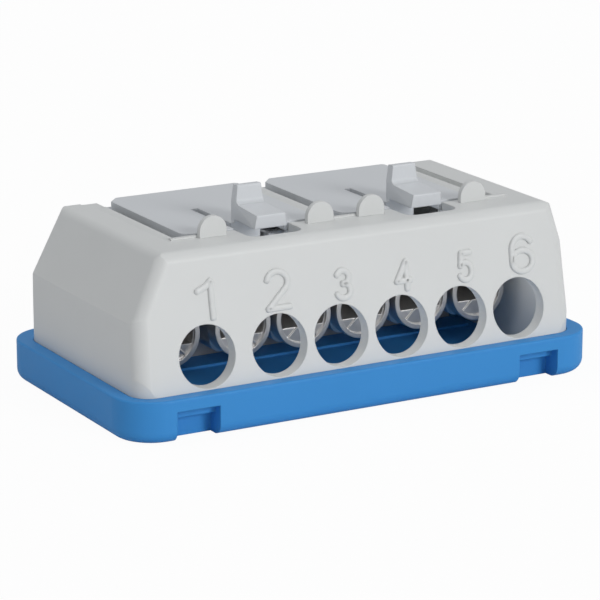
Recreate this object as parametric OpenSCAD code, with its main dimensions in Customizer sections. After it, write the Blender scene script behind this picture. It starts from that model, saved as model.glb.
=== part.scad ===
// Six-way power distribution block: a grey cover with six numbered cable
// entries and two hinged lids, on a shallow blue base tray. Inside, six clamp
// bodies hang on an insulating carrier and are bolted to one common bar.
// Axes: X along the length, Y from front to back, Z up. The origin is the
// centre of the tray's underside. Lengths are in millimetres.

/* [Base tray] */
// Length of the base tray
base_l = 123.6; // [122:0.2:132]
// Depth of the base tray, front to back
base_d = 68.4; // [68:0.2:76]
// Height of the tray's rim
base_h = 10; // [9.4:0.1:12]
// Corner radius of the tray in plan
base_r = 9.8; // [6:0.1:12]
// Fillet along the tray's lower edge
base_fillet = 2.8; // [1:0.1:4]
// Small rounding along the tray's upper edge
rim_round = 0.5; // [0.2:0.1:1]
// Thickness of the tray's floor
floor_t = 2.4; // [1.8:0.1:3]
// Gap between the tray's rim and the cover that stands in it
seat_gap = 0.15; // [0.1:0.05:0.3]
// Width of each snap window in the tray's long sides
window_w = 10.7; // [8:0.1:13]
// Height of each snap window
window_h = 7.1; // [6:0.1:7.6]
// How far the snap windows reach inside the foot of the cover's front wall
window_in = 1.5; // [0.8:0.1:2]
// Distance of the snap windows from the middle
window_x = 45.2; // [40:0.1:47]
// Height of the plinth that the carrier stands on
plinth_h = 0.6; // [0.4:0.1:1.2]

/* [Cover] */
// Height of the cover's flat top above the table
cover_top = 40.5; // [39.5:0.1:46]
// Cover's front face, measured from the middle at the rim
cover_front = 30.8; // [30:0.1:31]
// Cover's rear face, measured from the middle at the rim
cover_rear = 28.1; // [27.8:0.1:28.6]
// Cover's left end, measured from the middle at the rim
cover_left = 58.3; // [57.5:0.1:58.6]
// Cover's right end, measured from the middle at the rim
cover_right = 57; // [56:0.1:58.6]
// Lean of the front face, degrees from upright
front_lean = 11; // [6:0.1:12]
// Draft of the lower part of the left end
left_draft = 3; // [1:0.1:4]
// Draft of the lower part of the right end
right_draft = 0.9; // [0:0.1:2]
// Height at which the left end starts to slope
left_crease = 25.8; // [20:0.1:32]
// Slope of the left end above its crease, degrees from upright
left_slope = 28.3; // [15:0.1:30]
// Height at which the right end starts to slope
right_crease = 29.5; // [20:0.1:33]
// Slope of the right end above its crease
right_slope = 12.8; // [8:0.1:16]
// Corner radius of the cover in plan, where it stands in the tray
cover_r = 5; // [3:0.1:7]
// Radius of the leaning corners, below the creases
corner_r = 3.6; // [2:0.1:5]
// Radius of the leaning corners, above the creases
slope_r = 3; // [1.5:0.1:4]
// Fillet between the front face and the top
crown_r = 2.8; // [1.5:0.1:4]
// Thickness of the front wall
front_wall = 3.2; // [2.4:0.1:4]
// Thickness of the other walls
side_wall = 2.4; // [1.8:0.1:3]
// Thickness of the top
roof_t = 2.6; // [2:0.1:3]

/* [Cable entries] */
// Distance between neighbouring entries
pitch = 16; // [15.2:0.1:16.2]
// Wider distance between the first two entries
first_gap = 18.4; // [16:0.1:19]
// Place of the first entry along the length
first_x = -40.5; // [-43:0.1:-39]
// Radius of each entry hole
entry_r = 7.03; // [5.5:0.01:7.2]
// Height of the entries' axes
entry_z = 17.26; // [17:0.01:20]

/* [Lids] */
// Middle of the first lid's latch
module_x = -17.9; // [-19:0.1:-17]
// Distance between the two lids' latches
module_pitch = 41.4; // [41:0.1:43]
// From the latch's middle to the lid's left edge
lid_left = 19.4; // [17:0.1:19.6]
// From the latch's middle to the lid's right edge
lid_right = 15.7; // [15:0.1:17]
// Width of the gap along each lid's left edge
lid_gap = 3.1; // [2:0.1:3.2]
// Running gap along the lid's other edges
lid_play = 0.4; // [0.25:0.05:0.6]
// Thickness of the lid
lid_t = 2; // [1.6:0.1:2.4]
// How far the lid stands above the cover's top
lid_proud = 0.3; // [0:0.05:0.6]
// Front edge of the lids
lid_front = -12.1; // [-14:0.1:-11]
// Rear edge of the lids
lid_rear = 28; // [27:0.1:28.2]
// Cut-off corner at the lid's rear
lid_chamfer = 2.7; // [1.5:0.1:4]
// Radius of the lid's pivot pins
pivot_r = 1.2; // [1:0.05:1.3]
// Running gap round the pivot pins
pivot_gap = 0.06; // [0.03:0.01:0.1]
// Distance of the pivot axis from the lid's rear edge
pivot_in = 2.8; // [2.6:0.1:3.4]
// Distance of the pivot axis below the cover's top
pivot_down = 2.7; // [2.5:0.1:3]

/* [Latches] */
// Half width of the finger opening in front of each lid
finger_w = 6.6; // [6:0.1:7.5]
// Front edge of the finger opening
finger_front = -20.4; // [-21:0.1:-18.6]
// Corner radius of the finger opening
finger_r = 2.8; // [1.5:0.1:4.5]
// Width of the slots that free the latch arm
slot_w = 1.9; // [1.2:0.1:2.2]
// Rear end of the slots
slot_rear = 9.1; // [6:0.1:12]
// Front edge of the latch arm
arm_front = -7.1; // [-8:0.1:-6.5]
// Width of the finger tab at its foot
tab_w = 7.4; // [6:0.1:8]
// Height of the tab's upright above the lid
tab_h = 8.7; // [6:0.1:11]
// Thickness of the tab's upright
upright_t = 2; // [1.6:0.1:3]
// Reach of the tab's tongue in front of the upright
tongue_l = 10.5; // [7:0.1:11]
// Thickness of the tongue at its front end
tongue_t = 3.1; // [2:0.1:4]
// Width of each half-round ear
ear_w = 6.9; // [5:0.1:8]
// Height of the ears above the top
ear_h = 4.9; // [4:0.1:7]
// Thickness of the ears
ear_t = 1.2; // [1:0.1:1.8]
// Distance of the ears from the latch's middle
ear_x = 13.9; // [12:0.1:14.5]

/* [Clamps] */
// Radius of the round flange of each clamp body
flange_r = 7.2; // [6.6:0.05:7.4]
// Thickness of that flange
flange_t = 4.3; // [3:0.1:5]
// Distance of the flange behind the middle, negative is towards the front
flange_y = -12; // [-14:0.1:-10]
// Radius of the wire chamber
chamber_r = 5.9; // [5:0.05:6]
// Height of the chamber's flat floor below the entries' axis
chamber_floor = 2.26; // [1.5:0.01:3]
// Width of the clamp body
body_w = 13; // [12.6:0.1:13.4]
// Height of the clamp body's top above the entries' axis
body_up = 10.74; // [10:0.01:11]
// Depth of the clamp body's underside below the entries' axis
body_down = 6.46; // [6.2:0.01:8]
// Radius of the clamp screw's shank
screw_r = 3; // [2.5:0.05:3]
// Radius of the clamp screw's head
head_r = 4.3; // [3.8:0.1:5]
// Height of the clamp screw's head
head_h = 3.2; // [2.4:0.1:3.4]
// Distance of the clamp screws behind the middle
screw_y = 2; // [0:0.1:4]
// Running gap round the clamp screw and its tip
thread_gap = 0.05; // [0.03:0.01:0.1]
// Radius of the pressure pad
pad_r = 3.6; // [3:0.1:4]
// Thickness of the pressure pad
pad_t = 1.6; // [1.2:0.1:2]
// Travel of the pad from open to the chamber's floor
travel = 4.4; // [3:0.1:4.6]

/* [Carrier and bar] */
// Front face of the carrier's comb wall
comb_y = 15.2; // [14.5:0.1:16]
// Thickness of the comb wall
comb_t = 4; // [3:0.1:4.4]
// Room between the carrier's ends and the cover's side wall
comb_gap = 3.6; // [3:0.1:4]
// Height of the comb wall's top above the table
comb_top = 27.2; // [25:0.1:28]
// Thickness of the carrier's foot
foot_t = 2.6; // [2:0.1:3]
// Thickness of the common bar
bar_t = 3; // [2:0.1:4]
// Height of the common bar
bar_h = 13.5; // [12:0.1:14]

/* [Hidden] */
$fn = 48;
c_blue = [0.20, 0.48, 0.75];
c_grey = [0.78, 0.79, 0.79];
c_lid = [0.72, 0.74, 0.76];
c_metal = [0.66, 0.67, 0.68];
c_copper = [0.80, 0.62, 0.40];
c_screw = [0.55, 0.56, 0.58];
c_carrier = [0.58, 0.60, 0.62];
over = 1;                       // how far cutters run past the faces they cut
seat_z = floor_t;               // the cover's skirt stands on the tray's floor
lid_top = cover_top + lid_proud;
lid_under = lid_top - lid_t;
pivot_y = lid_rear - pivot_in;
pivot_z = cover_top - pivot_down;
pin_l = 1.2;                    // length of a pivot pin inside the cover
cheek_t = 2.4;                  // wall that carries a pivot pin
skirt_bottom = pivot_z - 1.2;   // lower edge of the lid's ribs
rib_t = 1.4;
shelf_t = 2;                    // ledge that the closed lid rests over
shelf_gap = 0.2;
chamber_z = entry_z - chamber_floor;
body_top = entry_z + body_up;
body_bottom = entry_z - body_down;
body_front = flange_y + flange_t;
pad_bottom = chamber_z + 0.2 + travel;
pad_top = pad_bottom + pad_t;
head_bottom = body_top + 0.3 + travel;
neck_w = 10;
neck_bottom = body_bottom + 1.7;
neck_top = neck_bottom + 12.5;
neck_gap = 0.15;
bar_y = comb_y + comb_t;
bar_z = (neck_bottom + neck_top) / 2;
bar_bolt_r = 2.05;
bar_end = 7;                    // bar runs this far past the outer clamps
plinth_z = floor_t + plinth_h;
plinth_front = comb_y - 7.7;
foot_rear = bar_y + 6;
comb_x = cover_right - side_wall - comb_gap;  // half length of the carrier
fix_y = bar_y + 3;
fix_r = 1.4;
fix_x = [-comb_x + 5, -8, 10, comb_x - 5];
lip_h = 2.2;                    // ledge inside the top of a snap window
lip_back = 2.1;
finger_side = 0.8;              // the finger openings reach this much further on the right
ear_y = lid_front - 2.4;        // rear face of the ears
relief_w = 3.8;                 // low step in the rear edge beside each gap
window_y = cover_front - window_in;  // inner end of the snap windows, where they meet the lugs
box_wall = 1.5;                 // wall round the inside of a snap window
lug_l = 9;                      // snap lugs that hold the cover in the tray
lug_out = 0.5;
lug_z = base_h - 3;
lug_x = 22;

// Place of entry i along the length, counted from 0
function entry_x(i) = i == 0 ? first_x : first_x + first_gap + (i - 1) * pitch;
function latch_x(m) = module_x + m * module_pitch;
// Left edge of the gap beside lid m
function gap_x(m) = latch_x(m) - lid_left - lid_gap;
function lid_edge(m) = latch_x(m) + lid_right;
// The cover's faces at height z
function front_at(z) = -cover_front + (z - base_h) * tan(front_lean);
function left_at(z) = -cover_left + (min(z, left_crease) - base_h) * tan(left_draft)
    + max(0, z - left_crease) * tan(left_slope);
function right_at(z) = cover_right - (min(z, right_crease) - base_h) * tan(right_draft)
    - max(0, z - right_crease) * tan(right_slope);
// Direction v seen from an edge that is tilted by b and turned by c
function along_edge(v, b, c) = [(v.x * cos(c) + v.y * sin(c)) * cos(b) - v.z * sin(b),
    v.y * cos(c) - v.x * sin(c)];
// Direction in the face with normal n, away from the edge and behind the face with normal m
function into_face(n, m) = let (u = [-n.y, n.x]) u * m < 0 ? u : -u;

// Takes the corner p between neighbours a and b off a flat shape and leaves a
// fillet of radius r there
module corner_cut(a, p, b, r) {
    u = (a - p) / norm(a - p);
    v = (b - p) / norm(b - p);
    half = acos(u * v) / 2;
    bis = (u + v) / norm(u + v);
    t = r / tan(half);
    c = p + bis * (r / sin(half));
    difference() {
        polygon([p + u * t, p - bis * 0.2, p + v * t, c]);
        translate(c) circle(r = r);
    }
}

// Rounds the edge from p to q, where faces with outward normals n and m meet
module edge_cut(p, q, n, m, r) {
    e = (q - p) / norm(q - p);
    b = acos(e.z);
    c = atan2(e.y, e.x);
    n2 = along_edge(n, b, c);
    m2 = along_edge(m, b, c);
    u = into_face(n2, m2);
    v = into_face(m2, n2);
    half = acos(u * v) / 2;
    d = 0.994 * r;
    middle = (u + v) / norm(u + v) * d / sin(half);
    translate(p) rotate([0, b, c]) translate([0, 0, -6]) linear_extrude(norm(q - p) + 12) difference() {
        polygon([u * d / tan(half) + n2, (n2 + m2) / (1 + n2 * m2), v * d / tan(half) + m2, middle]);
        translate(middle) circle(r = r);
    }
}

// Cross-section with a flat foot, rounded below by f and above by g
module slab_section(w, h, f, g) {
    difference() {
        translate([-w / 2, 0]) square([w, h]);
        for (s = [-1, 1]) {
            corner_cut([0, 0], [s * w / 2, 0], [s * w / 2, h], f);
            corner_cut([0, h], [s * w / 2, h], [s * w / 2, 0], g);
        }
    }
}

// Slab with round corners in plan and a rounded foot and upper edge
module rounded_slab(l, d, h, r, f, g) {
    translate([r - l / 2, 0, 0]) rotate([90, 0, 90]) linear_extrude(l - 2 * r) slab_section(d, h, f, g);
    translate([0, d / 2 - r, 0]) rotate([90, 0, 0]) linear_extrude(d - 2 * r) slab_section(l, h, f, g);
    for (sx = [-1, 1], sy = [-1, 1])
        translate([sx * (l / 2 - r), sy * (d / 2 - r), 0]) rotate_extrude()
            intersection() {
                square([r, h]);
                translate([0, 0]) slab_section(2 * r, h, f, g);
            }
}

// Upright prism over a plan with round corners
module plan_prism(x0, x1, y0, y1, z0, z1, r) {
    translate([0, 0, z0]) linear_extrude(z1 - z0) {
        translate([x0 + r, y0]) square([x1 - x0 - 2 * r, y1 - y0]);
        translate([x0, y0 + r]) square([x1 - x0, y1 - y0 - 2 * r]);
        for (x = [x0 + r, x1 - r], y = [y0 + r, y1 - r]) translate([x, y]) circle(r = r);
    }
}

// ---- base tray ----

module window_cut(s, clear = 0) {
    // s is +1 for the rear side and -1 for the front side
    for (x = [-window_x, window_x - 0.5]) {
        translate([x - window_w / 2, s > 0 ? window_y : -base_d / 2 - over, -over])
            cube([window_w, base_d / 2 - window_y + over, window_h - lip_h + over]);
        translate([x - window_w / 2, s > 0 ? window_y + lip_back : -base_d / 2 - over, -over])
            cube([window_w, base_d / 2 - window_y - lip_back + over, window_h + over]);
    }
}

// Walls that close each snap window towards the inside; clear is the room kept
// round them by the cover's skirt
module window_box(s, clear) {
    y_in = window_y - box_wall - clear;
    for (x = [-window_x, window_x - 0.5])
        translate([x - window_w / 2 - box_wall - clear, s > 0 ? y_in : -base_d / 2 + rim_round + base_fillet, 0.1])
            cube([window_w + 2 * (box_wall + clear), base_d / 2 - rim_round - base_fillet - y_in,
                window_h + box_wall + clear - 0.1]);
}

module lug_row(s, out, tall) {
    // snap lugs on the skirt, or with more room the recesses that take them
    wall_y = s > 0 ? cover_rear : cover_front;
    for (x = [-lug_x, lug_x])
        translate([x, s * (wall_y - 0.4), lug_z]) rotate([90, 0, 90])
            translate([0, 0, -lug_l / 2 - tall]) linear_extrude(lug_l + 2 * tall)
                polygon([[0, -1.2 - tall], [s * (0.4 + out), -tall], [s * (0.4 + out), 0.3 + tall],
                    [0, 1.5 + tall]]);
}

module base_tray() color(c_blue) {
    difference() {
        union() {
            difference() {
                rounded_slab(base_l, base_d, base_h, base_r, base_fillet, rim_round);
                plan_prism(-cover_left - seat_gap, cover_right + seat_gap, -cover_front - seat_gap,
                    cover_rear + seat_gap, floor_t, base_h + over, cover_r + seat_gap);
            }
            for (s = [-1, 1]) window_box(s, 0);
            // plinth under the carrier
            translate([-comb_x - 1, plinth_front, floor_t - 0.4])
                cube([2 * comb_x + 2, foot_rear + 0.5 - plinth_front, plinth_h + 0.4]);
        }
        for (s = [-1, 1]) {
            window_cut(s);
            lug_row(s, lug_out + seat_gap + 0.1, 0.15);
        }
        for (x = fix_x) translate([x, fix_y, 0.8]) cylinder(r = fix_r + 0.05, h = plinth_z);
    }
}

// ---- cover ----

// Section along the length, inset by w at the ends and t at the top
module end_profile(w, t) {
    zt = cover_top - t;
    pts = [[-cover_left + w, seat_z - w * over], [-cover_left + w, base_h],
        [left_at(left_crease) + w, left_crease], [left_at(zt) + w, zt],
        [right_at(zt) - w, zt], [right_at(right_crease) - w, right_crease],
        [cover_right - w, base_h], [cover_right - w, seat_z - w * over]];
    difference() {
        polygon(pts);
        corner_cut(pts[2], pts[3], pts[4], crown_r);
        corner_cut(pts[3], pts[4], pts[5], crown_r);
    }
}

// Section from front to back, inset by f in front, w behind and t at the top
module side_profile(f, w, t) {
    zt = cover_top - t;
    pts = [[-cover_front + f, seat_z - w * over], [-cover_front + f, base_h], [front_at(zt) + f, zt],
        [cover_rear - w, zt], [cover_rear - w, seat_z - w * over]];
    difference() {
        polygon(pts);
        corner_cut(pts[1], pts[2], pts[3], crown_r);
        corner_cut(pts[2], pts[3], pts[4], 0.8);
    }
}

module cover_form(f, w, t) {
    intersection() {
        translate([0, cover_rear + over, 0]) rotate([90, 0, 0])
            linear_extrude(cover_front + cover_rear + 2 * over) end_profile(w, t);
        translate([-cover_left - over, 0, 0]) rotate([90, 0, 90])
            linear_extrude(cover_left + cover_right + 2 * over) side_profile(f, w, t);
        plan_prism(-cover_left + w, cover_right - w, -cover_front + f, cover_rear - w, seat_z - w * over,
            cover_top, cover_r - w);
    }
}

// Rounds the four leaning corners of the cover, below and above the creases
module leaning_corners() {
    front = [0, -cos(front_lean), sin(front_lean)];
    rear = [0, 1, 0];
    for (s = [-1, 1], f = [-1, 1]) {
        crease = s < 0 ? left_crease : right_crease;
        low = s < 0 ? left_draft : right_draft;
        high = s < 0 ? left_slope : right_slope;
        x = [for (z = [base_h, crease, cover_top]) s < 0 ? left_at(z) : right_at(z)];
        y = [for (z = [base_h, crease, cover_top]) f < 0 ? front_at(z) : cover_rear];
        edge_cut([x[0], y[0], base_h], [x[1], y[1], crease], f < 0 ? front : rear,
            [s * cos(low), 0, sin(low)], corner_r);
        edge_cut([x[1], y[1], crease], [x[2], y[2], cover_top], f < 0 ? front : rear,
            [s * cos(high), 0, sin(high)], slope_r);
    }
}

// Half-round ear that stands on the top, flat side towards the front
module ear(x) {
    translate([x, ear_y, cover_top - 0.5]) rotate([90, 0, 0]) linear_extrude(ear_t) {
        translate([-ear_w / 2, 0]) square([ear_w, ear_h + 0.5 - ear_w / 2]);
        intersection() {
            translate([0, ear_h + 0.5 - ear_w / 2]) circle(r = ear_w / 2);
            translate([-ear_w / 2, 0]) square([ear_w, ear_h + 0.5]);
        }
    }
}

module lid_opening(m) {
    x0 = gap_x(m);
    x1 = lid_edge(m) + lid_play;
    translate([x0, lid_front - lid_play, lid_under - shelf_gap - shelf_t])
        cube([x1 - x0, cover_rear - lid_front + lid_play + over, roof_t + shelf_t + over]);
    // rear wall cut down behind the lid, so that its edge can swing past
    translate([x0, pivot_y - 3, pivot_z - 3.8]) cube([x1 - x0, cover_rear - pivot_y + 3 + over, 8]);
}

module lid_shelf(m) {
    x0 = gap_x(m);
    x1 = lid_edge(m) + lid_play;
    z = lid_under - shelf_gap - shelf_t;
    for (sx = [[x0, latch_x(m) - finger_w], [latch_x(m) + finger_w, x1]])
        translate([sx[0], lid_front - lid_play - 0.2, z])
            cube([sx[1] - sx[0], 1.8, shelf_t]);
    translate([x1 - 1.4, lid_front - lid_play, z])
        cube([1.6, pivot_y - 6 - lid_front, shelf_t]);
}

// Cheek beside the lid that carries a pivot pin, over x0 to x1
module cheek(x0, x1) {
    translate([x0, pivot_y - 4.2, pivot_z - 3.6])
        cube([x1 - x0, 4.2 + pivot_in, cover_top - pivot_z + 3.6]);
}

module finger_opening(m) {
    x = latch_x(m);
    plan_prism(x - finger_w, x + finger_w + finger_side, finger_front, lid_front + 6, cover_top - roof_t - shelf_t - over,
        cover_top + over, finger_r);
}

module cover_housing() color(c_grey) {
    difference() {
        union() {
            difference() {
                union() {
                    difference() {
                        cover_form(0, 0, 0);
                        cover_form(front_wall, side_wall, roof_t);
                        leaning_corners();
                    }
                    intersection() {
                        cover_form(0, 0, 0);
                        union() {
                            cheek(gap_x(0) - cheek_t, gap_x(0));
                            cheek(lid_edge(0) + lid_play, gap_x(1));
                            cheek(lid_edge(1) + lid_play, lid_edge(1) + lid_play + cheek_t);
                        }
                    }
                }
                for (m = [0, 1]) lid_opening(m);
            }
            for (m = [0, 1]) lid_shelf(m);
            // ears either side of each latch
            for (m = [0, 1], s = [-1, 1]) ear(latch_x(m) + 0.2 + s * ear_x);
            // low lips at the front end of each gap, and a low ramp along its left edge
            for (m = [0, 1, 2]) {
                x = gap_x(0) + m * module_pitch;
                translate([x - 1.4, ear_y - 0.1, cover_top - 0.2]) cube([6.6, 1, 0.7]);
                translate([0, pivot_y - 4, 0]) rotate([90, 0, 0]) linear_extrude(pivot_y - 4 - ear_y)
                    polygon([[x - 2.8, cover_top - 0.1], [x - 0.9, cover_top + 0.25], [x - 0.1, cover_top + 0.25],
                        [x, cover_top - 0.1]]);
            }
            for (s = [-1, 1]) lug_row(s, lug_out, 0);
        }
        for (i = [0:5]) translate([entry_x(i), 0, entry_z]) rotate([90, 0, 0]) cylinder(r = entry_r, h = cover_front + over);
        for (m = [0, 1]) finger_opening(m);
        // groove between the right lid's side and the end block on the right
        translate([gap_x(0) + 2 * module_pitch, lid_front + 0.4, cover_top - 2.1])
            cube([lid_gap, cover_rear - lid_front + over, 2.1 + over]);
        // low steps in the rear edge
        for (m = [0, 1, 2]) translate([gap_x(0) + m * module_pitch - relief_w, cover_rear - 1.7, cover_top - 1.3])
            cube([relief_w + 0.1, 1.7 + over, 1.3 + over]);
        translate([gap_x(0) - cheek_t - 0.3, pivot_y, pivot_z]) rotate([0, 90, 0])
            cylinder(r = pivot_r + pivot_gap, h = lid_edge(1) + lid_play + 2 * cheek_t + 0.6 - gap_x(0));
        for (s = [-1, 1]) window_box(s, 0.25);
    }
}

// ---- lids ----

// Finger tab seen from the side: an upright and a tongue that points forward
module tab_profile() {
    y0 = arm_front + 1.7;
    y1 = y0 - upright_t;
    y2 = y1 - tongue_l;
    z0 = lid_top + 0.6;
    zt = z0 + tongue_t;
    pts = [[y0, lid_top - 0.5], [y0, lid_top + tab_h - 0.2], [y1, lid_top + tab_h], [y1 - 0.3, zt + 0.65],
        [y2, zt], [y2 + 0.4, z0], [arm_front, z0], [arm_front, lid_top - 0.5]];
    difference() {
        union() {
            polygon(pts);
            // fillet where the tongue meets the upright
            difference() {
                translate([y1 - 1.1, zt + 0.5]) square([1.2, 1.4]);
                translate([y1 - 1.35, zt + 1.95]) circle(r = 1.2);
            }
        }
        corner_cut(pts[1], pts[2], pts[3], 0.4);
        corner_cut(pts[3], pts[4], pts[5], 0.3);
    }
}

module finger_tab(x) {
    y2 = arm_front + 1.7 - upright_t - tongue_l;
    intersection() {
        translate([x - tab_w, 0, 0]) rotate([90, 0, 90]) linear_extrude(2 * tab_w) tab_profile();
        // the tab widens a little towards the front and the foot
        translate([0, 0, lid_top - 1]) linear_extrude(tab_h + 2)
            polygon([[x - tab_w / 2 + 0.35, 0], [x - tab_w / 2 - 0.5, y2 - 1], [x + tab_w / 2 + 0.5, y2 - 1],
                [x + tab_w / 2 - 0.35, 0]]);
        translate([0, 0, 0]) rotate([90, 0, 0]) linear_extrude(-y2 + 1)
            polygon([[x - tab_w / 2 - 0.67, lid_top - 1], [x + tab_w / 2 + 0.67, lid_top - 1],
                [x + tab_w / 2 - 0.8, lid_top + tab_h + 1], [x - tab_w / 2 + 0.8, lid_top + tab_h + 1]]);
    }
}

module lid(m) {
    x = latch_x(m);
    x0 = x - lid_left;
    x1 = x + lid_right;
    c = lid_chamfer;
    difference() {
        union() {
            translate([0, 0, lid_under]) linear_extrude(lid_t) difference() {
                polygon([[x0, lid_front], [x1, lid_front], [x1, lid_rear - 0.6], [x1 - 0.6, lid_rear],
                    [x0 + c, lid_rear], [x0, lid_rear - c - 0.3]]);
                corner_cut([x0, 0], [x0, lid_front], [x, lid_front], 3);
            }
            // stiffening ribs under the plate
            translate([x0 + 0.4, lid_front + 2.4, skirt_bottom])
                cube([rib_t, pivot_y - lid_front - 0.8, lid_under - skirt_bottom + 0.1]);
            translate([x1 - 1.6 - rib_t, lid_front + 2.4, skirt_bottom])
                cube([rib_t, pivot_y - lid_front - 0.8, lid_under - skirt_bottom + 0.1]);
            translate([x0 + 0.4, slot_rear + 2, skirt_bottom])
                cube([x1 - x0 - 2, rib_t, lid_under - skirt_bottom + 0.1]);
            translate([x0 + 0.4, pivot_y - rib_t / 2, skirt_bottom])
                cube([x1 - x0 - 2, rib_t, lid_under - skirt_bottom + 0.1]);
            // pivot bosses and pins
            translate([x0 - lid_gap + 0.3, pivot_y, pivot_z]) rotate([0, 90, 0]) cylinder(r = 1.7, h = lid_gap + 2);
            translate([gap_x(m) - pin_l, pivot_y, pivot_z]) rotate([0, 90, 0])
                cylinder(r = pivot_r, h = pin_l + lid_gap + 1);
            translate([x1 - 1.6 - rib_t, pivot_y, pivot_z]) rotate([0, 90, 0])
                cylinder(r = pivot_r, h = rib_t + 1.6 + lid_play + pin_l);
        }
        // opening in front of the latch arm, and the two slots beside it
        translate([x - finger_w, lid_front - over, lid_under - over])
            cube([2 * finger_w, arm_front - lid_front + over, lid_t + 2 * over]);
        for (s = [-1, 1])
            translate([x + s * (finger_w - slot_w / 2) - slot_w / 2, arm_front - over, lid_under - over])
                cube([slot_w, slot_rear - arm_front + over, lid_t + 2 * over]);
    }
    finger_tab(x);
    // latch leg under the arm, with its catch nose towards the rear
    translate([x - 3, 0, 0]) rotate([90, 0, 90]) linear_extrude(6)
        polygon([[arm_front, lid_under + 0.1], [arm_front, lid_under - 4], [arm_front + 1.1, lid_under - 4],
            [arm_front + 1.9, lid_under - 2.9], [arm_front + 1.4, lid_under - 2.4],
            [arm_front + 1.4, lid_under + 0.1]]);
}

module lid_left() color(c_lid) lid(0);

module lid_right() color(c_lid) lid(1);

// ---- carrier, bar and clamps ----

module terminal_carrier() color(c_carrier) {
    difference() {
        union() {
            translate([-comb_x, comb_y, plinth_z]) cube([2 * comb_x, comb_t, comb_top - plinth_z]);
            translate([-comb_x, comb_y, plinth_z]) cube([2 * comb_x, foot_rear - comb_y, foot_t]);
            // gussets between the wall and the foot
            for (x = [-comb_x + 0.8, -31.3, -14, 2, 18, 34, comb_x - 0.8])
                translate([x - 0.8, bar_y - 0.1, 0]) rotate([90, 0, 90]) linear_extrude(1.6)
                    polygon([[0, plinth_z + foot_t - 0.1], [foot_rear - bar_y - 1, plinth_z + foot_t - 0.1],
                        [0.6, bar_z - bar_h / 2 - 0.6], [0, bar_z - bar_h / 2 - 0.6]]);
        }
        for (i = [0:5])
            translate([entry_x(i) - neck_w / 2 - neck_gap, comb_y - over, neck_bottom - neck_gap])
                cube([neck_w + 2 * neck_gap, comb_t + 2 * over, comb_top]);
        for (x = fix_x) translate([x, fix_y, plinth_z - over]) cylinder(r = fix_r + 0.1, h = foot_t + 2 * over);
    }
}

module common_bar() color(c_copper) {
    x0 = entry_x(0) - bar_end;
    x1 = entry_x(5) + bar_end;
    difference() {
        translate([0, bar_y + bar_t, 0]) rotate([90, 0, 0]) linear_extrude(bar_t) difference() {
            translate([x0, bar_z - bar_h / 2]) square([x1 - x0, bar_h]);
            for (x = [x0, x1], z = [bar_z - bar_h / 2, bar_z + bar_h / 2])
                corner_cut([x, bar_z], [x, z], [(x0 + x1) / 2, z], 1.5);
        }
        for (i = [0:5]) translate([entry_x(i), bar_y + bar_t + over, bar_z]) rotate([90, 0, 0])
            cylinder(r = bar_bolt_r + 0.5, h = bar_t + 2 * over);
    }
}

module bar_bolts() color(c_screw)
    for (i = [0:5]) translate([entry_x(i), bar_y + bar_t, bar_z]) rotate([-90, 0, 0]) difference() {
        union() {
            cylinder(r = 4.1, h = 2.6);
            translate([0, 0, -bar_t - 6]) cylinder(r = bar_bolt_r, h = bar_t + 6.1);
        }
        translate([-5, -0.6, 1.2]) cube([10, 1.2, 2]);
    }

module carrier_screws() color(c_screw)
    for (x = fix_x) translate([x, fix_y, plinth_z + foot_t]) difference() {
        union() {
            cylinder(r = 2.7, h = 1.9);
            translate([0, 0, -foot_t - 1.9]) cylinder(r = fix_r, h = foot_t + 2);
        }
        translate([-3, -0.4, 0.9]) cube([6, 0.8, 1.2]);
    }

// Outline of the wire chamber: round, with a flat floor
module chamber_section(r) {
    intersection() {
        circle(r = r);
        translate([-r, -chamber_floor]) square([2 * r, r + chamber_floor]);
    }
}

module clamp_body(i) color(c_metal) translate([entry_x(i), 0, 0]) {
    difference() {
        union() {
            translate([0, body_front, entry_z]) rotate([90, 0, 0]) cylinder(r = flange_r, h = flange_t);
            translate([0, comb_y, 0]) rotate([90, 0, 0]) linear_extrude(comb_y - body_front) difference() {
                translate([-body_w / 2, body_bottom]) square([body_w, body_top - body_bottom]);
                for (s = [-1, 1]) {
                    corner_cut([0, body_top], [s * body_w / 2, body_top], [s * body_w / 2, body_bottom], 1.2);
                    corner_cut([0, body_bottom], [s * body_w / 2, body_bottom], [s * body_w / 2, body_top], 3);
                }
            }
            translate([-neck_w / 2, comb_y - 0.1, neck_bottom]) cube([neck_w, comb_t + 0.1, neck_top - neck_bottom]);
        }
        // shallow recess that leaves a rim round the face
        translate([0, flange_y + 0.8, entry_z]) rotate([90, 0, 0]) cylinder(r = chamber_r + 0.15, h = 0.8 + over);
        translate([0, comb_y - 3.2, entry_z]) rotate([90, 0, 0])
            linear_extrude(comb_y - 3.2 - flange_y + over) chamber_section(chamber_r);
        translate([0, screw_y, entry_z]) cylinder(r = screw_r + thread_gap, h = body_up + over);
        translate([0, bar_y + over, bar_z]) rotate([90, 0, 0]) cylinder(r = bar_bolt_r + 0.05, h = comb_t + 3.2 + over);
    }
    // two raised ridges below the chamber, running down and outwards
    for (s = [-1, 1]) translate([s * 1.4, flange_y + 0.9, chamber_z - 0.1]) rotate([0, s * 45, 0])
        translate([0, -0.5, -0.22]) rotate([0, 0, s > 0 ? 0 : 180]) translate([0, s > 0 ? 0 : -0.6, 0])
            cube([3.9, 0.6, 0.44]);
}

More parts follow.
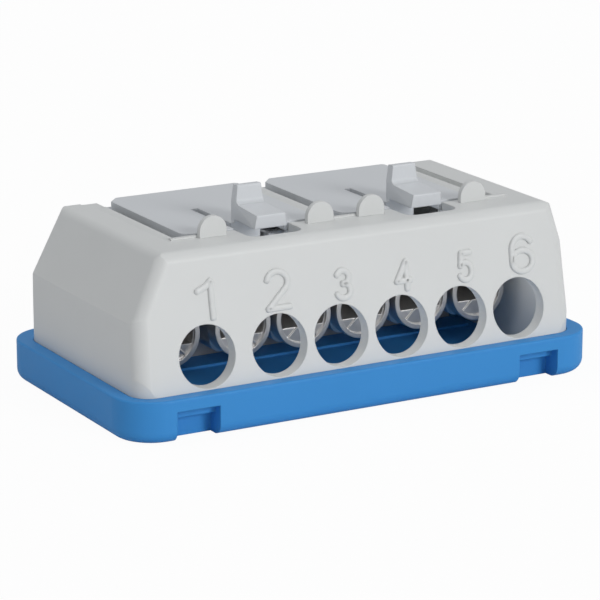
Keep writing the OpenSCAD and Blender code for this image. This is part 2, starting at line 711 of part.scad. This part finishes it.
module clamp_screw(i) color(c_screw) translate([entry_x(i), screw_y, 0]) {
    difference() {
        union() {
            translate([0, 0, pad_top]) cylinder(r = screw_r, h = head_bottom - pad_top + 0.1);
            translate([0, 0, pad_bottom + 0.3]) cylinder(r = 1.4, h = pad_t);
            translate([0, 0, head_bottom]) cylinder(r = head_r, h = head_h - 0.4);
            translate([0, 0, head_bottom + head_h - 0.4]) cylinder(r1 = head_r, r2 = head_r - 0.4, h = 0.4);
        }
        // six-sided key socket
        translate([0, 0, head_bottom + 0.9]) linear_extrude(head_h)
            polygon([for (k = [0:5]) [2.3 * cos(60 * k), 2.3 * sin(60 * k)]]);
    }
}

module pressure_pad(i) color(c_metal) translate([entry_x(i), screw_y, pad_bottom]) difference() {
    union() {
        cylinder(r1 = pad_r - 0.4, r2 = pad_r, h = 0.4);
        translate([0, 0, 0.4]) cylinder(r = pad_r, h = pad_t - 0.4);
    }
    translate([0, 0, 0.2]) cylinder(r = 1.4 + thread_gap, h = pad_t);
}

base_tray();
cover_housing();
lid_left();
lid_right();
terminal_carrier();
common_bar();
clamp_body(0);  // clamp_body_1
clamp_body(1);  // clamp_body_2
clamp_body(2);  // clamp_body_3
clamp_body(3);  // clamp_body_4
clamp_body(4);  // clamp_body_5
clamp_body(5);  // clamp_body_6
clamp_screw(0);  // clamp_screw_1
clamp_screw(1);  // clamp_screw_2
clamp_screw(2);  // clamp_screw_3
clamp_screw(3);  // clamp_screw_4
clamp_screw(4);  // clamp_screw_5
clamp_screw(5);  // clamp_screw_6
pressure_pad(0);  // pressure_pad_1
pressure_pad(1);  // pressure_pad_2
pressure_pad(2);  // pressure_pad_3
pressure_pad(3);  // pressure_pad_4
pressure_pad(4);  // pressure_pad_5
pressure_pad(5);  // pressure_pad_6
bar_bolts();
carrier_screws();
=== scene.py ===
"""Dresses a six-way power distribution block: moulded plastic, plated metal, raised entry numbers
and screw threads, on a pale floor in soft light."""

import math

import bpy
import numpy as np
from bpy.props import FloatProperty, FloatVectorProperty, IntProperty, PointerProperty
from mathutils import Matrix, Vector


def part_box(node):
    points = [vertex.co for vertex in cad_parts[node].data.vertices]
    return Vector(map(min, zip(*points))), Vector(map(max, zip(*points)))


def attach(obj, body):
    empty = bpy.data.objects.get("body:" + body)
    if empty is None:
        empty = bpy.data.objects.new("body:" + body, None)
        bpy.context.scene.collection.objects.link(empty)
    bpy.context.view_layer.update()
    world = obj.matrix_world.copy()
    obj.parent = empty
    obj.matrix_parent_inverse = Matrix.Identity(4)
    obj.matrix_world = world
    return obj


bl_info = {
    "name": "Power distribution block",
    "version": (1, 0, 0),
    "blender": (4, 5, 0),
    "location": "View3D > Sidebar > Block",
    "description": "Finishes, raised numbers, threads and stage for a power distribution block",
    "category": "Object",
}

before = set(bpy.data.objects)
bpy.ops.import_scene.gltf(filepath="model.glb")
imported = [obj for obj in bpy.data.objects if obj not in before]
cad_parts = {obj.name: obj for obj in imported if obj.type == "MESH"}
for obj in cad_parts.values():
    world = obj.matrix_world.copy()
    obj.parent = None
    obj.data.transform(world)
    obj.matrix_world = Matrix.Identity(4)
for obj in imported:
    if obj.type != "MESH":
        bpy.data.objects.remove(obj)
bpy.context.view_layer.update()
MM = 0.001
ENTRIES = 6

# Raised numbers, in mm: the width of each, and its shift from the middle of its entry
NUMBER_WIDTHS = (3.4, 5.5, 3.4, 3.6, 3.2, 5.6)
NUMBER_SHIFTS = (0.65, 0.7, 1.6, 1.5, 2.4, 2.15)
TALL_NUMBERS = (1, 2, 6)

# Section and ends of a raised stroke
SIDE_POWER = 0.7
TOP_POWER = 0.55
CAP_RINGS = 6
TIP = 0.02                      # share of the width left at the very end

# Threads
STEPS_PER_TURN = 36
FLANK = 0.33                    # half height of the ridge, in pitches
RUN_OUT = 1.5                   # angle over which the ridge fades at its ends, in radians
HEAD = 3.7 * MM                 # height of a clamp screw's head with the bare neck below it

# Camera
CAMERA_PLACE = Vector((-0.33275, -0.58858, 0.20362))
CAMERA_YAW = math.radians(29.455)
CAMERA_PITCH = math.radians(15.371)


# ---- settings ----

class BlockNumbers(bpy.types.PropertyGroup):
    """Raised numbers above the cable entries."""
    stroke: FloatProperty(name="Stroke width", default=1.5 * MM, min=0.4 * MM, max=2 * MM)
    relief: FloatProperty(name="Relief", default=0.6 * MM, min=0.05 * MM, max=1 * MM)
    small_height: FloatProperty(name="Height of 3, 4 and 5", default=6.3 * MM, min=3 * MM, max=9 * MM)
    tall_height: FloatProperty(name="Height of 1, 2 and 6", default=8.25 * MM, min=4 * MM, max=10 * MM)
    base: FloatProperty(name="Foot of the numbers above the table", default=25.5 * MM, min=24 * MM, max=30 * MM)
    steps: IntProperty(name="Steps along a stroke", default=48, min=12, max=120)


class BlockThreads(bpy.types.PropertyGroup):
    """Threads on the clamp screws."""
    pitch: FloatProperty(name="Pitch", default=1 * MM, min=0.4 * MM, max=2 * MM)
    crest: FloatProperty(name="Crest above the shank", default=0.04 * MM, min=0.01 * MM, max=0.05 * MM)
    radius: FloatProperty(name="Shank radius", default=3 * MM, min=1 * MM, max=4 * MM)


class BlockFinish(bpy.types.PropertyGroup):
    """Colours and surface grain."""
    cover: FloatVectorProperty(name="Cover", subtype="COLOR", size=3, default=(0.70, 0.71, 0.70), min=0, max=1)
    lid: FloatVectorProperty(name="Lids", subtype="COLOR", size=3, default=(0.67, 0.69, 0.71), min=0, max=1)
    tray: FloatVectorProperty(name="Tray", subtype="COLOR", size=3, default=(0.048, 0.28, 0.66), min=0, max=1)
    carrier: FloatVectorProperty(name="Carrier", subtype="COLOR", size=3, default=(0.42, 0.41, 0.40), min=0, max=1)
    grain: FloatProperty(name="Grain", default=0.05, min=0, max=1)
    edge: FloatProperty(name="Rounding seen on edges", default=0.35 * MM, min=0, max=1 * MM)


class BlockStage(bpy.types.PropertyGroup):
    """Floor, light and camera."""
    sky: FloatProperty(name="Sky", default=0.46, min=0, max=2)
    key: FloatProperty(name="Key light", default=1.25, min=0, max=10)
    above: FloatProperty(name="Light from above", default=0.45, min=0, max=10)
    inside: FloatProperty(name="Light inside the entries", default=0.0012, min=0, max=1)


# ---- materials ----

def new_material(name):
    """An empty node material with its output."""
    material = bpy.data.materials.new(name)
    material.use_nodes = True
    tree = material.node_tree
    tree.nodes.clear()
    out = tree.nodes.new("ShaderNodeOutputMaterial")
    shader = tree.nodes.new("ShaderNodeBsdfPrincipled")
    tree.links.new(shader.outputs[0], out.inputs["Surface"])
    return material, tree, shader


def object_noise(tree, scale, detail=4.0, stretch=(1, 1, 1)):
    """Noise on Object coordinates, scale in cells per metre."""
    place = tree.nodes.new("ShaderNodeTexCoord")
    mapping = tree.nodes.new("ShaderNodeMapping")
    mapping.inputs["Scale"].default_value = stretch
    noise = tree.nodes.new("ShaderNodeTexNoise")
    noise.inputs["Scale"].default_value = scale
    noise.inputs["Detail"].default_value = detail
    tree.links.new(place.outputs["Object"], mapping.inputs["Vector"])
    tree.links.new(mapping.outputs[0], noise.inputs["Vector"])
    return noise.outputs["Fac"]


def ranged(tree, value, low, high):
    """Spreads a 0 to 1 value over low to high."""
    spread = tree.nodes.new("ShaderNodeMapRange")
    spread.inputs["To Min"].default_value = low
    spread.inputs["To Max"].default_value = high
    tree.links.new(value, spread.inputs["Value"])
    return spread.outputs[0]


def tinted(tree, color, value, amount):
    """color, lighter and darker by amount as value goes from 1 to 0."""
    ramp = tree.nodes.new("ShaderNodeValToRGB")
    ramp.color_ramp.elements[0].color = (*[c * (1 - amount) for c in color], 1)
    ramp.color_ramp.elements[1].color = (*[min(1, c * (1 + amount)) for c in color], 1)
    tree.links.new(value, ramp.inputs[0])
    return ramp.outputs[0]


def worn_normal(tree, shader, height, strength, edge):
    """Bump from height over softly rounded edges."""
    soft = tree.nodes.new("ShaderNodeBevel")
    soft.samples = 6
    soft.inputs["Radius"].default_value = edge
    bump = tree.nodes.new("ShaderNodeBump")
    bump.inputs["Strength"].default_value = strength
    bump.inputs["Distance"].default_value = 0.1 * MM
    tree.links.new(height, bump.inputs["Height"])
    tree.links.new(soft.outputs[0], bump.inputs["Normal"])
    tree.links.new(bump.outputs[0], shader.inputs["Normal"])


def moulded_plastic(name, color, finish, rough=(0.36, 0.46), shine=0.42):
    """Satin moulded plastic: slow drifts of colour and gloss, and a fine spark-eroded grain."""
    material, tree, shader = new_material(name)
    drift = object_noise(tree, 45, 2)
    fine = object_noise(tree, 2600, 3)
    tree.links.new(tinted(tree, color, drift, 0.025), shader.inputs["Base Color"])
    tree.links.new(ranged(tree, drift, *rough), shader.inputs["Roughness"])
    shader.inputs["Specular IOR Level"].default_value = shine
    shader.inputs["Subsurface Weight"].default_value = 0.04
    shader.inputs["Subsurface Radius"].default_value = (1 * MM, 1 * MM, 1 * MM)
    worn_normal(tree, shader, fine, finish.grain, finish.edge)
    return material


def plated_metal(name, color, finish, rough=(0.24, 0.42), stretch=(1, 1, 1)):
    """Plated metal: cloudy gloss, faint drawing marks along the stretched axis."""
    material, tree, shader = new_material(name)
    cloud = object_noise(tree, 320, 3)
    marks = object_noise(tree, 1500, 4, stretch)
    tree.links.new(tinted(tree, color, cloud, 0.08), shader.inputs["Base Color"])
    tree.links.new(ranged(tree, cloud, *rough), shader.inputs["Roughness"])
    shader.inputs["Metallic"].default_value = 0.9
    worn_normal(tree, shader, marks, 0.12, finish.edge)
    return material


def dress(node, material):
    """Gives a CAD node its material."""
    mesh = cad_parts[node].data
    mesh.materials.clear()
    mesh.materials.append(material)


# ---- shapes ----

def mesh_object(name, points, faces, material, body):
    """A closed, smooth-shaded piece that rides on a body."""
    mesh = bpy.data.meshes.new(name)
    mesh.from_pydata([tuple(p) for p in points], [], [tuple(int(i) for i in f) for f in faces])
    mesh.materials.append(material)
    mesh.update()
    mesh.shade_smooth()
    piece = bpy.data.objects.new(name, mesh)
    bpy.context.scene.collection.objects.link(piece)
    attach(piece, body)
    return piece


def tube_faces(rings, sides, offset=0):
    """Quads between successive rings, and one flat face over each end ring."""
    i, j = np.meshgrid(np.arange(rings - 1), np.arange(sides), indexing="ij")
    k = (j + 1) % sides
    near, far = i * sides, (i + 1) * sides
    quads = np.stack([near + j, near + k, far + k, far + j], -1).reshape(-1, 4)
    last = (rings - 1) * sides
    ends = [list(range(sides))[::-1], list(range(last, last + sides))]
    return [*(quads + offset).tolist(), *[[v + offset for v in e] for e in ends]]


def arc(center, radii, start, stop, count=24):
    """Points on an ellipse: c + (rx cos t, ry sin t), t from start to stop degrees."""
    t = np.radians(np.linspace(start, stop, count))[:, None]
    return np.hstack([center[0] + radii[0] * np.cos(t), center[1] + radii[1] * np.sin(t)])


def line(*corners):
    """Points along straight runs between the corners."""
    return np.array(corners, float)


def digit_strokes(digit):
    """The strokes of a digit in a unit box, each a run of straight lines and arcs."""
    bow = np.vstack([arc((0.5, 0.71), (0.44, 0.29), 165, -38), line((0.04, 0.0))])
    hook = np.vstack([arc((0.52, 0.62), (0.46, 0.38), 32, 180), line((0.05, 0.3))])
    return {
        1: [line((0.12, 0.76), (0.42, 0.86), (0.62, 1.0)), line((0.62, 1.0), (0.62, 0.0))],
        2: [bow, line((0.04, 0.0), (0.96, 0.0))],
        3: [arc((0.46, 0.755), (0.42, 0.245), 155, -90), arc((0.46, 0.27), (0.48, 0.27), 90, -155)],
        4: [line((0.74, 0.0), (0.74, 1.0)), line((0.74, 1.0), (0.02, 0.3)), line((0.02, 0.3), (1.0, 0.3))],
        5: [line((0.9, 1.0), (0.24, 1.0)), line((0.24, 1.0), (0.13, 0.53)),
            arc((0.47, 0.32), (0.48, 0.32), 137, -150)],
        6: [hook, arc((0.5, 0.3), (0.45, 0.3), 180, 540, 40)],
    }[digit]


def evenly(path, count):
    """count points at equal steps of arc length along a run of points."""
    lengths = np.r_[0, np.cumsum(np.linalg.norm(np.diff(path, axis=0), axis=1))]
    at = np.linspace(0, lengths[-1], count)
    return np.column_stack([np.interp(at, lengths, path[:, k]) for k in (0, 1)])


def stroke_surface(path, width, relief, steps, sides=14):
    """A raised stroke with round ends.

    For arc length s, path point P(s) and unit side vector N(s), the surface is
    P(s) + N(s) a(s) c(f) + up b(s) d(f), where c and d trace a flattened ring,
    c = sgn(cos f) |cos f|^0.7 and d = sgn(sin f) |sin f|^0.55, and a and b shrink
    to nothing in a quarter circle over half the width at each end.
    """
    p = evenly(path, steps)
    tangent = np.gradient(p, axis=0)
    tangent /= np.linalg.norm(tangent, axis=1)[:, None]
    side = np.column_stack([-tangent[:, 1], tangent[:, 0]])
    half = width / 2
    cap = np.linspace(TIP, 1, CAP_RINGS)
    reach = np.r_[-half * (1 - cap), np.zeros(steps - 2), half * (1 - cap[::-1])]
    ring = np.r_[np.zeros(CAP_RINGS, int), np.arange(1, steps - 1), np.full(CAP_RINGS, steps - 1)]
    p, tangent, side = p[ring], tangent[ring], side[ring]
    shrink = np.sqrt(np.clip(1 - (np.abs(reach) / half) ** 2, TIP ** 2, 1))
    f = np.linspace(0, 2 * np.pi, sides, endpoint=False)
    c = np.sign(np.cos(f)) * np.abs(np.cos(f)) ** SIDE_POWER
    d = np.sign(np.sin(f)) * np.abs(np.sin(f)) ** TOP_POWER
    middle = (p + tangent * reach[:, None])[:, None, :]
    flat = middle + side[:, None, :] * (half * shrink)[:, None, None] * c[None, :, None]
    up = (relief * shrink)[:, None] * d[None, :]
    return np.dstack([flat, up]).reshape(-1, 3), len(p), sides


def front_face():
    """A point on the leaning front face, its up direction and its outward normal.

    They come from the largest face of the cover that looks forward and a little up.
    """
    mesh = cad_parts["cover_housing"].data
    normal, area = Vector((0, -1, 0)), 0
    for face in mesh.polygons:
        if face.normal.y < -0.9 and 0.05 < face.normal.z < 0.5 and face.area > area and face.center.y < -0.02:
            normal, area, point = face.normal.copy(), face.area, face.center.copy()
    up = Vector((0, normal.z, -normal.y)).normalized()
    return point, up, normal


def entry_centres():
    """Middles of the six clamp bodies along the length."""
    boxes = [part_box(f"clamp_body_{k + 1}") for k in range(ENTRIES)]
    return [(low.x + high.x) / 2 for low, high in boxes]


def add_number(digit, x, width, height, settings, material):
    """One raised number on the front face, its strokes joined in one piece."""
    point, up, normal = front_face()
    foot = point + up * ((settings.base - point.z) / up.z)
    points, faces = [], []
    strokes = digit_strokes(digit)
    across = np.concatenate([stroke[:, 0] for stroke in strokes])
    middle, span = (across.min() + across.max()) / 2, np.ptp(across)
    for stroke in strokes:
        scaled = (stroke - [middle, 0]) * [width / span, height]
        local, rings, sides = stroke_surface(scaled, settings.stroke, settings.relief, settings.steps)
        faces += tube_faces(rings, sides, sum(len(p) for p in points))
        points.append(local)
    local = np.vstack(points)
    axes = np.array([Vector((1, 0, 0)), up, normal])
    placed = np.array([x, foot.y, foot.z]) + local @ axes
    return mesh_object(f"number_{digit}", placed, faces, material, "housing")


def add_thread(k, settings, material):
    """A thread round the free part of a clamp screw's shank.

    For turn angle t and ring angle f: radius r - h / 2 + 1.5 h g cos f, height
    z0 + pitch t / (2 pi) + w g sin f, with h the crest, w a third of the pitch, and g a factor
    that fades from 1 to almost nothing at both ends.
    """
    screw_low, screw_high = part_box(f"clamp_screw_{k}")
    _, body_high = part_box(f"clamp_body_{k}")
    x, y = (screw_low.x + screw_high.x) / 2, (screw_low.y + screw_high.y) / 2
    start, stop = body_high.z + 0.3 * settings.pitch, screw_high.z - HEAD
    turns = (stop - start) / settings.pitch
    t = np.linspace(0, 2 * np.pi * turns, int(STEPS_PER_TURN * turns))
    f = np.linspace(0, 2 * np.pi, 6, endpoint=False)
    taper = np.clip(np.minimum(t, t[-1] - t) / RUN_OUT, 0.05, 1)[:, None]
    radius = settings.radius - 0.5 * settings.crest + 1.5 * settings.crest * taper * np.cos(f)
    height = start + settings.pitch * t[:, None] / (2 * np.pi) + FLANK * settings.pitch * taper * np.sin(f)
    points = np.dstack([x + radius * np.cos(t)[:, None], y + radius * np.sin(t)[:, None], height]).reshape(-1, 3)
    faces = [face[::-1] for face in tube_faces(len(t), len(f))]
    return mesh_object(f"screw_thread_{k}", points, faces, material, f"screw_{k}")


# ---- operators ----

class BLOCK_OT_finish(bpy.types.Operator):
    """Gives every solid its plastic or metal."""
    bl_idname = "block.finish"
    bl_label = "Finish the solids"

    def execute(self, context):
        finish = context.scene.block_finish
        cover = moulded_plastic("cover_plastic", finish.cover, finish)
        lid = moulded_plastic("lid_plastic", finish.lid, finish)
        tray = moulded_plastic("tray_plastic", finish.tray, finish, (0.4, 0.5), 0.22)
        carrier = moulded_plastic("carrier_plastic", finish.carrier, finish, (0.45, 0.55))
        tin = plated_metal("tinned_brass", (0.60, 0.59, 0.58), finish, stretch=(1, 0.15, 1))
        bar = plated_metal("tinned_bar", (0.66, 0.62, 0.55), finish, stretch=(0.1, 1, 1))
        steel = plated_metal("zinc_steel", (0.58, 0.59, 0.61), finish, (0.2, 0.34))
        dress("cover_housing", cover)
        dress("base_tray", tray)
        dress("terminal_carrier", carrier)
        dress("common_bar", bar)
        for node in ("lid_left", "lid_right"):
            dress(node, lid)
        for node in ("bar_bolts", "carrier_screws"):
            dress(node, steel)
        for k in range(1, ENTRIES + 1):
            dress(f"clamp_body_{k}", tin)
            dress(f"pressure_pad_{k}", tin)
            dress(f"clamp_screw_{k}", steel)
        return {"FINISHED"}


class BLOCK_OT_numbers(bpy.types.Operator):
    """Adds the raised numbers above the entries."""
    bl_idname = "block.numbers"
    bl_label = "Add the entry numbers"

    def execute(self, context):
        settings = context.scene.block_numbers
        material = bpy.data.materials["cover_plastic"]
        places = zip(entry_centres(), NUMBER_WIDTHS, NUMBER_SHIFTS)
        for k, (x, width, shift) in enumerate(places, 1):
            height = settings.tall_height if k in TALL_NUMBERS else settings.small_height
            add_number(k, x + shift * MM, width * MM, height, settings, material)
        return {"FINISHED"}


class BLOCK_OT_threads(bpy.types.Operator):
    """Adds the threads of the clamp screws."""
    bl_idname = "block.threads"
    bl_label = "Add the screw threads"

    def execute(self, context):
        material = bpy.data.materials["zinc_steel"]
        for k in range(1, ENTRIES + 1):
            add_thread(k, context.scene.block_threads, material)
        return {"FINISHED"}


class BLOCK_OT_stage(bpy.types.Operator):
    """Adds the floor, the light and the camera."""
    bl_idname = "block.stage"
    bl_label = "Set the stage"

    def execute(self, context):
        settings = context.scene.block_stage
        self.add_floor()
        self.add_light(context, settings)
        self.add_camera(context)
        return {"FINISHED"}

    def add_floor(self):
        """A pale floor that looks white and takes only a faint shadow."""
        size = 40
        mesh = bpy.data.meshes.new("floor")
        corners = [(-size, -size, 0), (size, -size, 0), (size, size, 0), (-size, size, 0)]
        mesh.from_pydata(corners, [], [(0, 1, 2, 3)])
        floor = bpy.data.objects.new("floor", mesh)
        floor.location.z = -0.05 * MM
        bpy.context.scene.collection.objects.link(floor)
        material, tree, shader = new_material("floor")
        shader.inputs["Base Color"].default_value = (0.8, 0.8, 0.8, 1)
        shader.inputs["Roughness"].default_value = 0.9
        white = tree.nodes.new("ShaderNodeEmission")
        white.inputs["Color"].default_value = (1, 1, 1, 1)
        ray = tree.nodes.new("ShaderNodeLightPath")
        share = tree.nodes.new("ShaderNodeMath")
        share.operation = "MULTIPLY"
        share.inputs[1].default_value = 0.96
        mix = tree.nodes.new("ShaderNodeMixShader")
        out = next(n for n in tree.nodes if n.type == "OUTPUT_MATERIAL")
        tree.links.new(ray.outputs["Is Camera Ray"], share.inputs[0])
        tree.links.new(share.outputs[0], mix.inputs[0])
        tree.links.new(shader.outputs[0], mix.inputs[1])
        tree.links.new(white.outputs[0], mix.inputs[2])
        tree.links.new(mix.outputs[0], out.inputs["Surface"])
        mesh.materials.append(material)

    def add_light(self, context, settings):
        """An even sky that looks white, a broad key from the front right, a softer light from
        above and a faint lamp behind each entry."""
        world = bpy.data.worlds.new("sky")
        context.scene.world = world
        world.use_nodes = True
        tree = world.node_tree
        tree.nodes.clear()
        seen, sky = tree.nodes.new("ShaderNodeBackground"), tree.nodes.new("ShaderNodeBackground")
        seen.inputs["Color"].default_value = (1, 1, 1, 1)
        sky.inputs["Color"].default_value = (0.95, 0.97, 1, 1)
        sky.inputs["Strength"].default_value = settings.sky
        ray, mix = tree.nodes.new("ShaderNodeLightPath"), tree.nodes.new("ShaderNodeMixShader")
        out = tree.nodes.new("ShaderNodeOutputWorld")
        tree.links.new(ray.outputs["Is Camera Ray"], mix.inputs[0])
        tree.links.new(sky.outputs[0], mix.inputs[1])
        tree.links.new(seen.outputs[0], mix.inputs[2])
        tree.links.new(mix.outputs[0], out.inputs["Surface"])
        key = bpy.data.lights.new("key", "SUN")
        key.energy = settings.key
        key.angle = math.radians(22)
        self.place(key, Vector((0.30, -0.85, 0.36)), Vector((0, 0, 0)))
        above = bpy.data.lights.new("above", "SUN")
        above.energy = settings.above
        above.angle = math.radians(40)
        self.place(above, Vector((-0.12, 0.25, 0.95)), Vector((0, 0, 0)))
        for k, x in enumerate(entry_centres()):
            lamp = bpy.data.lights.new(f"inside_{k + 1}", "POINT")
            lamp.energy = settings.inside
            lamp.shadow_soft_size = 4 * MM
            self.place(lamp, Vector((x + 2 * MM, -19 * MM, 22 * MM)), Vector((x, 0, 10 * MM)))

    def place(self, light, position, target):
        """Puts a light at position, aimed at target."""
        lamp = bpy.data.objects.new(light.name, light)
        lamp.location = position
        lamp.rotation_euler = (target - position).to_track_quat("-Z", "Y").to_euler()
        bpy.context.scene.collection.objects.link(lamp)

    def add_camera(self, context):
        """A long lens from the front left, a little above."""
        yaw, pitch = CAMERA_YAW, CAMERA_PITCH
        level = math.cos(pitch)
        ahead = Vector((math.sin(yaw) * level, math.cos(yaw) * level, -math.sin(pitch)))
        right = Vector((math.cos(yaw), -math.sin(yaw), 0))
        up = right.cross(ahead)
        lens = bpy.data.cameras.new("camera")
        lens.sensor_width = 36
        lens.lens = 178.1
        lens.clip_start = 0.01
        camera = bpy.data.objects.new("camera", lens)
        camera.matrix_world = Matrix((
            (right.x, up.x, -ahead.x, CAMERA_PLACE.x), (right.y, up.y, -ahead.y, CAMERA_PLACE.y),
            (right.z, up.z, -ahead.z, CAMERA_PLACE.z), (0, 0, 0, 1)))
        context.scene.collection.objects.link(camera)
        context.scene.camera = camera


class BLOCK_PT_panel(bpy.types.Panel):
    """Settings and steps in the sidebar."""
    bl_label = "Power distribution block"
    bl_space_type = "VIEW_3D"
    bl_region_type = "UI"
    bl_category = "Block"

    def draw(self, context):
        for group in (context.scene.block_finish, context.scene.block_numbers, context.scene.block_threads,
                      context.scene.block_stage):
            box = self.layout.box()
            for name in group.__annotations__:
                box.prop(group, name)
        for step in STEPS:
            self.layout.operator(step.bl_idname)


STEPS = (BLOCK_OT_finish, BLOCK_OT_numbers, BLOCK_OT_threads, BLOCK_OT_stage)
GROUPS = {"block_finish": BlockFinish, "block_numbers": BlockNumbers, "block_threads": BlockThreads,
          "block_stage": BlockStage}


def register():
    for cls in (*GROUPS.values(), *STEPS, BLOCK_PT_panel):
        bpy.utils.register_class(cls)
    for name, cls in GROUPS.items():
        setattr(bpy.types.Scene, name, PointerProperty(type=cls))


def unregister():
    for name in GROUPS:
        delattr(bpy.types.Scene, name)
    for cls in reversed((*GROUPS.values(), *STEPS, BLOCK_PT_panel)):
        bpy.utils.unregister_class(cls)


def main():
    register()
    bpy.context.scene.view_settings.view_transform = "Standard"
    bpy.ops.block.finish()
    bpy.ops.block.numbers()
    bpy.ops.block.threads()
    bpy.ops.block.stage()


if __name__ == "__main__":
    main()
